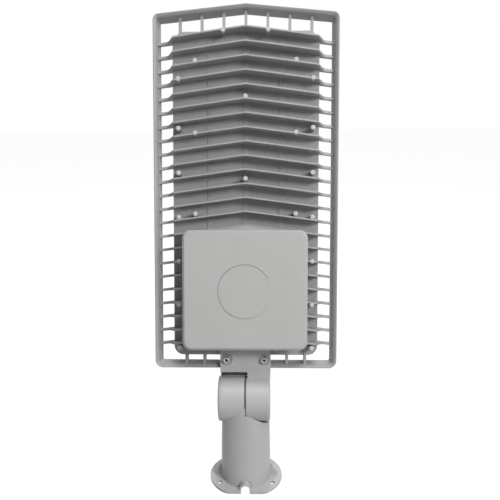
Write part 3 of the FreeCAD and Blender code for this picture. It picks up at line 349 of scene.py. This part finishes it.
def rounded_outline(corners, radii, steps=7):
    """Closed outline whose corners are arcs, as points and outward normals.

    A point of a corner is the arc's centre plus its radius times the normal.
    """
    corners = np.asarray(corners, float)
    along = np.roll(corners, -1, axis=0) - corners
    along /= np.linalg.norm(along, axis=1)[:, None]
    outward = np.stack([along[:, 1], -along[:, 0]], axis=1)
    points, normals = [], []
    for i, radius in enumerate(radii):
        before, after = outward[i - 1], outward[i]
        turn = math.acos(float(np.clip(before @ after, -1, 1)))
        middle = corners[i] - radius / math.cos(turn / 2) * (before + after) / np.linalg.norm(before + after)
        start = math.atan2(before[1], before[0])
        bearing = start + np.linspace(0, turn, steps)
        normal = np.stack([np.cos(bearing), np.sin(bearing)], axis=1)
        points.append(middle + radius * normal)
        normals.append(normal)
    return np.concatenate(points), np.concatenate(normals)


PANEL_CORNERS = [(-135, 0), (135, 0), (135, 516.5), (0, 530), (-135, 516.5)]
PANEL_RADII = [11.5, 11.5, 9.0, 5.0, 9.0]
CREST_PROFILE = [(0.05, 0.3), (0.55, -1.9), (0.8, -2.6), (1.4, -2.9), (2.1, -2.6), (5.2, -0.1), (5.4, 0.3)]


def frame_crest():
    """Slanted crest of the frame: a closed profile of (inset, depth) carried round the panel's outline."""
    profile = np.array(CREST_PROFILE)
    spots, normals = rounded_outline(PANEL_CORNERS, PANEL_RADII)
    inward = spots[:, None] - normals[:, None] * profile[None, :, :1]
    depth = np.broadcast_to(profile[None, :, 1], inward.shape[:2])
    points = np.stack([inward[..., 0], depth, inward[..., 1]], axis=-1)
    faces = grid_faces(len(spots), len(profile), True, True)
    make_piece("frame_crest", points, faces, ["cast_coat"])


def extruded(profile, axis, start, end):
    """Closed profile of points drawn from start to end along one axis, with both ends capped."""
    profile = np.asarray(profile, float)
    count = len(profile)
    points = np.zeros((2, count, 3))
    points[..., [a for a in range(3) if a != axis]] = profile[None]
    points[0, :, axis], points[1, :, axis] = start, end
    sides = [list(face) for face in grid_faces(2, count, close_columns=True)]
    return points.reshape(-1, 3), sides + [list(range(count)), list(range(count, 2 * count))]


STRIP_GAP = 1.0              # from the strip's lip to the knuckle
STRIP_LEFT = -36.6
STRIP_RIGHT = 4.0


def gap_shade_strip():
    """Near-black strip under the neck plate, over the adapter's knuckle, painted shade for the gap there: a lipped
    profile drawn along X.
    """
    low = KNUCKLE_RADIUS + STRIP_GAP - PIVOT_BELOW
    profile = [(-1.0, -5.0), (-1.0, low + 1.2), (-0.4, low + 0.3), (0.8, low), (2.6, low), (3.8, low + 0.8),
               (5.4, low + 1.0), (7.6, low + 1.6), (8.0, -5.0)]
    points, faces = extruded(profile, 0, STRIP_LEFT, STRIP_RIGHT)
    make_piece("gap_shade_strip", points, faces, ["recess"], angle=30.0)


def full_turn(steps):
    """Bearings of one turn as a column, without the last, which is the first again."""
    return np.linspace(0, 2 * math.pi, steps, endpoint=False)[:, None]


CAP_SIDES = 72
CAP_PROFILE = [(-33.0, 33.0), (-33.2, 33.85), (-37.2, 33.85), (-38.6, 33.4), (-39.7, 32.2), (-40.6, 24.0),
               (-41.0, 17.0), (-40.9, 13.6), (-40.2, 12.8), (-33.0, 12.8)]


def knuckle_cap():
    """Rounded cast end of the adapter's knuckle: (along, radius) points turned about the tilt axis.

    It stays open in the middle, round the nut.
    """
    profile = np.array(CAP_PROFILE)
    bearing = full_turn(CAP_SIDES)
    points = np.stack([profile[:, 0] + 0 * bearing, profile[:, 1] * np.cos(bearing),
                       PIVOT_HEIGHT + profile[:, 1] * np.sin(bearing)], axis=-1)
    faces = grid_faces(CAP_SIDES, len(profile), True, True)
    make_piece("knuckle_cap", points, faces, ["bright_coat"], body="adapter")


# near-black cord at the parting line: painted shade between the teeth
SEAM_WAVES = 36
SEAM_STEPS = 12 * SEAM_WAVES
SEAM_SWING = 0.75
SEAM_MIDDLE = -0.3
SEAM_DEPTH = 0.55            # of the cord's middle under the knuckle's skin
CORD_RADIUS = 0.65
CORD_SIDES = 8


def seam_shade_ring():
    """Near-black cord in the groove at the toothed parting line, painted shade for the gaps between the teeth: a small
    circle carried round the tilt axis.

    Its place along X swings with the teeth as the sine of so many waves a turn.
    """
    bearing = full_turn(SEAM_STEPS)
    round_it = full_turn(CORD_SIDES)[:, 0]
    radius = KNUCKLE_RADIUS - SEAM_DEPTH + CORD_RADIUS * np.cos(round_it)
    along = SEAM_SWING * np.sin(SEAM_WAVES * bearing) + SEAM_MIDDLE + CORD_RADIUS * np.sin(round_it)
    points = np.stack([along, PIVOT_BEHIND + radius * np.cos(bearing),
                       -PIVOT_BELOW + radius * np.sin(bearing)], axis=-1)
    faces = grid_faces(SEAM_STEPS, CORD_SIDES, True, True)
    make_piece("seam_shade_ring", points, faces, ["recess"], angle=60.0)


TUBE_BASE = 38.3
TUBE_TOP_SIDE = 36.1
TUBE_TOP_DEPTH = 33.95
STRAIGHT_FROM = 101.9        # height from which the tube no longer narrows
SADDLE_RADIUS = 36.5         # hollow under the head's half of the knuckle
SKIN_WALL = 5.0
SKIN_BOTTOM = 3.5
NOTCH_HALF = 8.0
NOTCH_TOP = 14.5
SKIN_BEARINGS = 61
SKIN_HEIGHTS = 15
SKIN_HALVES = (("tube_skin_left", math.pi, KNUCKLE_RADIUS - 1.0), ("tube_skin_right", 0.0, SADDLE_RADIUS))


def tube_skins():
    """Cast skin of the tube, left and right half: an oval at bearing b is (a(z) cos b, c(z) sin b).

    a and c fall with height from the base circle; the right half ends at the saddle, the left in the knuckle.
    Each row goes up the outside and comes back down the inside, a wall further in.
    """
    count = SKIN_HEIGHTS + 2
    wall = np.zeros(count)
    wall[-2:] = SKIN_WALL
    for name, middle, reach in SKIN_HALVES:
        bearing = middle + np.linspace(-math.pi / 2, math.pi / 2, SKIN_BEARINGS)
        depth = np.clip(np.abs(TUBE_TOP_DEPTH * np.sin(bearing)), 0, reach)
        top = PIVOT_HEIGHT - np.sqrt(reach ** 2 - depth ** 2)
        over_notch = (np.sin(bearing) < 0) & (np.abs(np.cos(bearing)) * TUBE_BASE < NOTCH_HALF)
        low = np.where(over_notch, NOTCH_TOP, SKIN_BOTTOM)
        height = low[:, None] + (top - low)[:, None] * np.linspace(0, 1, SKIN_HEIGHTS)
        height = np.concatenate([height, height[:, -1:], height[:, :1]], axis=1)
        taper = np.clip(height / STRAIGHT_FROM, 0, 1)
        across = TUBE_BASE + (TUBE_TOP_SIDE - TUBE_BASE) * taper - wall
        through = TUBE_BASE + (TUBE_TOP_DEPTH - TUBE_BASE) * taper - wall
        points = np.stack([across * np.cos(bearing)[:, None], through * np.sin(bearing)[:, None], height], axis=-1)
        faces = [list(face) for face in grid_faces(SKIN_BEARINGS, count, close_columns=True)]
        last = (SKIN_BEARINGS - 1) * count
        faces += [list(range(count)), list(range(last, last + count))]
        make_piece(name, points, faces, ["bright_coat"], body="adapter")


SHOULDER_POINTS = 33
SHOULDER_BACK = 1.0


def box_shoulder():
    """Wedge between the last whole rib and the driver box: its top follows the rib, its face the crowned crest.

    Five lines along X, each a (depth, height) over x, are joined into a closed bar.
    """
    half = (LAST_RIB - BOX_END) / RIB_FALL
    x = np.linspace(-half, half, SHOULDER_POINTS)
    top = LAST_RIB - 0.2 - RIB_FALL * np.abs(x)
    bottom = np.full_like(x, BOX_END - 2.0)
    face = crest_at(x) + 0.35
    back = np.full_like(x, SHOULDER_BACK)
    lines = [(face + 0.5, top), (face, top - 0.8), (face, bottom), (back, bottom), (back, top)]
    points = np.array([np.stack([x, depth, height], axis=1) for depth, height in lines])
    starts = [line * SHOULDER_POINTS for line in range(len(lines))]
    faces = [list(quad) for quad in grid_faces(len(lines), SHOULDER_POINTS, close_rows=True)]
    faces += [starts, [start + SHOULDER_POINTS - 1 for start in starts]]
    make_piece("box_shoulder", points, faces, ["cast_coat"])


def revolved(profile, places, y, away, sides, hexagons=()):
    """Profile of (radius, height) turned about Y at each place, with the height going away from y.

    A row in hexagons follows a hexagon: its radius is the flat's distance over the cosine of the angle from the
    flat's middle. y is one depth for all, or the (x, depth) pairs to read it from.
    """
    profile = np.asarray(profile, float)
    bearing = full_turn(sides)[:, 0]
    stretch = np.ones((len(profile), sides))
    stretch[list(hexagons)] = 1 / np.cos((bearing % (math.pi / 3)) - math.pi / 6)
    radius = profile[:, :1] * stretch
    ring = np.stack([radius * np.cos(bearing), np.broadcast_to(away * profile[:, 1:], radius.shape),
                     radius * np.sin(bearing)], axis=-1)
    points, faces = [], []
    for x, z in places:
        faces.append(grid_faces(len(profile), sides, close_columns=True, first=len(points) * ring[..., 0].size))
        points.append(ring.reshape(-1, 3) + (x, np.interp(abs(x), *y) if isinstance(y, tuple) else y, z))
    return np.concatenate(points), np.concatenate(faces)


NECK_PLACES = [(-27.6, 13.9), (27.6, 13.9)]
NECK_SEAT = -10.8            # on the washers
FRAME_SEAT = 27.0
EDGE_PLACES = [(side * 96.5, 32.3 + 63.6 * i + (6.0 if i == 6 else 0.0)) for i in range(7) for side in (-1, 1)]
EDGE_PLACES += [(side * 32.0, 486.5) for side in (-1, 1)]
MODULE_PLACES = [(side * 72.2, z) for z in (227.7, 343.4, 444.8) for side in (-1, 1)] + [(0.0, 277.8), (0.0, 394.2)]


BOSS_DOME = [(0.0, 1.1), (0.9, 1.12), (1.3, 1.3), (1.8, 1.35), (2.7, 1.0), (3.4, 0.3), (3.75, -0.6), (3.75, -2.4)]
BOSS_BEHIND_CREST = 1.0
BOSS_SIDES = 16


def boss_tips():
    """Rounded tips of the screw bosses: a dimpled dome of revolution on each, a little behind the crowned crest, in a
    lighter grey than the housing's coat that paints their highlight.
    """
    x = np.linspace(0, PLATE_HALF, 40)
    depths = (x, crest_at(x) + BOSS_BEHIND_CREST)
    points, faces = revolved(BOSS_DOME, EDGE_PLACES + MODULE_PLACES, depths, -1, BOSS_SIDES)
    make_piece("boss_tips", points, faces, ["painted_tip_highlight"])


SOCKET_SCREW_ROWS = (6, 7)   # the socket's mouth and floor in the screw's profile
SCREW_SIDES = 24


def screws(name, node, places, seat, away, sizes):
    """Domed screws with a hexagonal socket, turned from their profile; the socket's faces take a near-black colour,
    painted shade for the socket's depth.

    sizes are the shank's and head's radius, the head's height, the length below it, and the socket's flat and depth.
    """
    shank, head, height, length, socket, depth = sizes
    profile = [(0.0, -length), (shank, -length + 0.5), (shank, 0.0), (head, 0.0), (head, height * 0.55),
               (head * 0.8, height), (socket, height), (socket, height - depth), (0.0, height - depth)]
    points, faces = revolved(profile, places, seat, away, SCREW_SIDES, SOCKET_SCREW_ROWS)
    # the socket's faces, which take the near-black painted shade
    dark = (np.arange(len(faces)) // SCREW_SIDES) % (len(profile) - 1) >= SOCKET_SCREW_ROWS[0]
    piece = make_piece(name, points, faces, ["zinc", "recess"], second=dark)
    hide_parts(node)


DISC_PROFILE = [(36.9, 0.9), (37.3, 1.05), (37.6, 0.95), (38.3, 0.05), (38.5, -0.3), (36.9, -0.3)]
DISC_SIDES = 96


def disc_edge():
    """Sloped edge of the raised disc on the cover: a (radius, height) profile carried round the disc's centre."""
    profile = np.array(DISC_PROFILE)
    bearing = full_turn(DISC_SIDES)
    points = np.stack([profile[:, 0] * np.cos(bearing), COVER_TOP - profile[:, 1] + 0 * bearing,
                       BOX_MIDDLE + profile[:, 0] * np.sin(bearing)], axis=-1)
    faces = grid_faces(DISC_SIDES, len(profile), True, True)
    make_piece("disc_edge", points, faces, ["cover_coat"])


BAND_PROFILE = [(-4.2, 0.6), (-4.2, -0.2), (-3.9, -0.9), (3.9, -0.9), (4.2, -0.2), (4.2, 0.6)]
BAND_PLACES = (-52.0, 0.0, 52.0)
PIN_PLACES = (-52.0, 52.0)
PINS_EACH = 5
PIN_RADIUS = 3.0
BEAD_WIDTH = 0.7             # half of it, like the height of an ellipse
BEAD_HEIGHT = 0.9
BEAD_BASE = 0.8              # the bead's foot over the plate
BEAD_POINTS = 5
PIN_SIDES = 20


def cast_marks():
    """Traces of the casting tool between the ribs: three low bands up the plate and rings of ejector pins on them.

    A band is a chamfered profile drawn along Z; a ring is a half-round bead about its centre.
    """
    points, faces, count = [], [], 0
    for x in BAND_PLACES:
        fall = RIB_FALL * abs(x)
        spots, sides = extruded(np.array(BAND_PROFILE) + (x, PLATE_FACE), 2, LAST_RIB - fall, PLATE_END - fall)
        points.append(spots)
        faces += [[corner + count for corner in side] for side in sides]
        count += len(spots)
    bead = np.linspace(0, math.pi, BEAD_POINTS)
    bearing = full_turn(PIN_SIDES)
    radius = PIN_RADIUS + BEAD_WIDTH * np.cos(bead)
    depth = PLATE_FACE - BEAD_BASE - BEAD_HEIGHT * np.sin(bead)
    for x in PIN_PLACES:
        for i in range(PINS_EACH):
            z = LAST_RIB + RIB_PITCH * (10 - 2 * i) + 12.5 - RIB_FALL * abs(x)
            spots = np.stack([x + radius * np.cos(bearing), depth + 0 * bearing, z + radius * np.sin(bearing)], axis=-1)
            sides = grid_faces(PIN_SIDES, BEAD_POINTS, close_rows=True, first=count)
            faces += [[int(corner) for corner in side] for side in sides]
            points.append(spots.reshape(-1, 3))
            count += spots[..., 0].size
    make_piece("cast_marks", np.concatenate(points), faces, ["cast_coat"])


LENS_FACE = 10.6
LENS_BACK = 7.65             # on the board
LENS_HALF = (82.5, 118.5)
LENS_GRID = (151, 217)
BOARD_MIDDLE = 339.0
LIGHT_PITCH = (23.6, 25.0)
LIGHT_REACH = (2.98, 4.48)   # pitches from the middle that the lights fill: 6 columns and 9 rows
DOME_HALF = (10.6, 9.4)
DOME_HEIGHT = 6.3
VALLEY_DEPTH = 1.6
VALLEY_WIDTH = 3.2


def lens_moulding():
    """Clear moulding: its height over (x, z) is the plate plus a dome over each light, with a valley across it.

    With r the elliptical distance from the light, the dome is sqrt(1 - r^2), and the valley exp(-(x / width)^2)
    times 1 - r^2.
    """
    x = np.linspace(-LENS_HALF[0], LENS_HALF[0], LENS_GRID[0])
    z = BOARD_MIDDLE + np.linspace(-LENS_HALF[1], LENS_HALF[1], LENS_GRID[1])
    wide, high = np.meshgrid(x, z, indexing="ij")
    across = ((wide / LIGHT_PITCH[0]) % 1.0 - 0.5) * LIGHT_PITCH[0]
    along = ((high - BOARD_MIDDLE) / LIGHT_PITCH[1] + 0.5) % 1.0 * LIGHT_PITCH[1] - LIGHT_PITCH[1] / 2
    inside = ((np.abs(wide) < LIGHT_REACH[0] * LIGHT_PITCH[0])
              & (np.abs(high - BOARD_MIDDLE) < LIGHT_REACH[1] * LIGHT_PITCH[1]))
    reach = np.clip(1 - (across / DOME_HALF[0]) ** 2 - (along / DOME_HALF[1]) ** 2, 0, 1)
    dome = DOME_HEIGHT * np.sqrt(reach) - VALLEY_DEPTH * np.exp(-(across / VALLEY_WIDTH) ** 2) * reach
    top = np.stack([wide, LENS_FACE + dome * inside, high], axis=-1).reshape(-1, 3)
    bottom = top * (1, 0, 1) + (0, LENS_BACK, 0)
    size = len(top)
    faces = [[int(corner) for corner in side] for side in grid_faces(*LENS_GRID)]
    number = np.arange(size).reshape(LENS_GRID)
    rim = np.concatenate([number[:, 0], number[-1, 1:], number[-2::-1, -1], number[0, -2:0:-1]])
    count = len(rim)
    lower = bottom[rim]
    faces += [[int(rim[i]), int(rim[(i + 1) % count]), size + (i + 1) % count, size + i] for i in range(count)]
    faces.append([size + i for i in range(count)])
    piece = make_piece("lens_moulding", np.concatenate([top, lower]), faces, ["lens_clear"])
    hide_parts("lens_plate")


frame_crest()
gap_shade_strip()
knuckle_cap()
seam_shade_ring()
tube_skins()
box_shoulder()
boss_tips()
disc_edge()
cast_marks()
lens_moulding()
screws("neck_screws", "neck_bolts", NECK_PLACES, NECK_SEAT, -1, (3.0, 4.4, 6.0, 20.0, 2.3, 3.2))
screws("frame_screws", "front_frame_screws", EDGE_PLACES, FRAME_SEAT, 1, (1.7, 3.5, 2.4, 21.0, 1.5, 1.3))
screws("module_screws", "led_module_screws", MODULE_PLACES, LENS_FACE, 1, (1.7, 3.2, 2.2, 14.6, 1.4, 1.2))


# Camera, as fitted to the photograph: place, yaw, pitch and roll in the lamp's own panel frame

FILM_WIDTH = 36.0
CAMERA_PLACE = Vector((25.53, -955.57, 181.93)) * MM
CAMERA_YAW = -0.0338
CAMERA_PITCH = 0.0683
FOCAL_PIXELS = 646.5
CENTRE_PIXEL = (241.04, 290.0)
PICTURE = 500.0


def aim_camera():
    """Camera whose shift keeps the photograph's own centre pixel."""
    tilt = Matrix.Rotation(-TILT_BACK, 3, "X")
    ahead = tilt @ Vector((math.sin(CAMERA_YAW) * math.cos(CAMERA_PITCH),
                           math.cos(CAMERA_YAW) * math.cos(CAMERA_PITCH), -math.sin(CAMERA_PITCH)))
    right = tilt @ Vector((math.cos(CAMERA_YAW), -math.sin(CAMERA_YAW), 0.0))
    above = right.cross(ahead)
    data = bpy.data.cameras.new("camera")
    data.sensor_width = FILM_WIDTH
    data.lens = FOCAL_PIXELS / PICTURE * data.sensor_width
    data.shift_x = (PICTURE / 2 - CENTRE_PIXEL[0]) / PICTURE
    data.shift_y = (CENTRE_PIXEL[1] - PICTURE / 2) / PICTURE
    data.clip_start = 0.05
    camera = bpy.data.objects.new("camera", data)
    place = PIVOT + tilt @ (CAMERA_PLACE - PIVOT_IN_PANEL)
    turn = Matrix((right, above, -ahead)).transposed()
    camera.matrix_world = Matrix.Translation(place) @ turn.to_4x4()
    bpy.context.scene.collection.objects.link(camera)
    bpy.context.scene.camera = camera


# Stage

def soft_lamp(name, place, target, size, power):
    """Square area lamp at a place, turned to its target."""
    data = bpy.data.lights.new(name, "AREA")
    data.size = size
    data.energy = power
    lamp = bpy.data.objects.new(name, data)
    lamp.location = place
    lamp.rotation_euler = (Vector(target) - Vector(place)).to_track_quat("-Z", "Y").to_euler()
    bpy.context.scene.collection.objects.link(lamp)


def seen_directly(tree):
    """1 for camera, glossy and transmitted rays, so that metal and glass show the white background too."""
    rays = tree.nodes.new("ShaderNodeLightPath")
    both = math_node(tree, "MAXIMUM", rays.outputs["Is Camera Ray"], rays.outputs["Is Glossy Ray"])
    return math_node(tree, "MAXIMUM", both, rays.outputs["Is Transmission Ray"])


AMBIENT = 0.07
KEY_POWER = 59.0
TOP_POWER = 29.0
FILL_POWER = 2.0
BACK_POWER = 14.0


def studio():
    """World that shows as white but lights softly, and four soft lamps."""
    world = bpy.data.worlds.new("studio")
    bpy.context.scene.world = world
    world.use_nodes = True
    tree = world.node_tree
    back = tree.nodes["Background"]
    back.inputs["Color"].default_value = (1, 1, 1, 1)
    tree.links.new(ramp(tree, seen_directly(tree), 0.0, 1.0, AMBIENT, 1.0), back.inputs["Strength"])
    soft_lamp("key_lamp", (1.7, -2.1, 1.9), (0, 0, 0.35), 0.8, KEY_POWER)
    soft_lamp("top_lamp", (0.3, -0.9, 2.5), (0, 0, 0.4), 0.8, TOP_POWER)
    soft_lamp("fill_lamp", (-1.4, -2.2, 0.9), (0, 0, 0.35), 1.4, FILL_POWER)
    soft_lamp("back_lamp", (0.4, 1.8, 1.6), (0, 0, 0.4), 1.4, BACK_POWER)


FLOOR_HALF = 6.0
FLOOR_MATT = 0.6
FLOOR_GLOW = 1.28
GLOW_SHARE = 0.75


def floor():
    """Pale sheet that shows as white to the camera, and keeps the lamp's shadow in its matt share."""
    size = FLOOR_HALF
    mesh = bpy.data.meshes.new("floor")
    mesh.from_pydata([(-size, -size, 0), (size, -size, 0), (size, size, 0), (-size, size, 0)], [], [(0, 1, 2, 3)])
    sheet = bpy.data.objects.new("floor", mesh)
    bpy.context.scene.collection.objects.link(sheet)
    material = bpy.data.materials.new("floor_white")
    material.use_nodes = True
    tree = material.node_tree
    tree.nodes.clear()
    matt = add_node(tree, "ShaderNodeBsdfDiffuse", {"Color": (FLOOR_MATT, FLOOR_MATT, FLOOR_MATT, 1)})
    glow = add_node(tree, "ShaderNodeEmission", {"Color": (1, 1, 1, 1), "Strength": FLOOR_GLOW})
    share = math_node(tree, "MULTIPLY", seen_directly(tree), GLOW_SHARE)
    both = add_node(tree, "ShaderNodeMixShader", {0: share, 1: matt.outputs[0], 2: glow.outputs[0]})
    out = tree.nodes.new("ShaderNodeOutputMaterial")
    tree.links.new(both.outputs[0], out.inputs["Surface"])
    mesh.materials.append(material)


aim_camera()
studio()
floor()
bpy.context.scene.view_settings.view_transform = "Standard"

bpy.context.view_layer.update()
